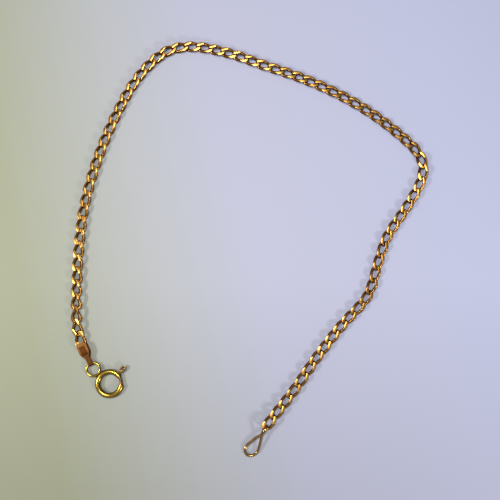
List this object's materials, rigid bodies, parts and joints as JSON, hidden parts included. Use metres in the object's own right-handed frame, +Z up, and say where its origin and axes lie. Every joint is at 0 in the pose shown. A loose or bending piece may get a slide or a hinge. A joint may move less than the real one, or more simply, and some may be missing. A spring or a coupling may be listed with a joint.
{
  "type": "chain anklet",
  "caption": "Filed curb chain anklet lying open, with a folded end tag, a bolt ring whose trigger opens it, and a wire end loop.",
  "frame": {"origin": "on the table, under the middle of the whole anklet as it lies open", "axes": "+Z up from the table; +X towards the bend of the chain beside its middle; +Y away from the two ends"},
  "size_m": [0.089, 0.104, 0.0027],
  "materials": {
    "chain_gold": "polished",
    "tag_gold": "satin",
    "ring_gold": "polished",
    "bolt_gold": "polished",
    "loop_gold": "polished"
  },
  "bodies": {
    "anklet": {"clasp_side_chain": "chain_gold", "loop_side_chain": "chain_gold", "end_tag": "tag_gold", "bolt_ring_case": "ring_gold", "end_loop": "loop_gold"},
    "bolt": {"ring_bolt": "bolt_gold"}
  },
  "joints": [
    {"name": "bolt_slide", "type": "hinge", "parent": "anklet", "child": "bolt", "pos_m": [-0.03454, -0.03461, 0.00065], "axis": [0, 0, 1], "range_deg": [0, 46], "stiffness_Nm_per_rad": 0.001, "springref_deg": -22.92}
  ]
}
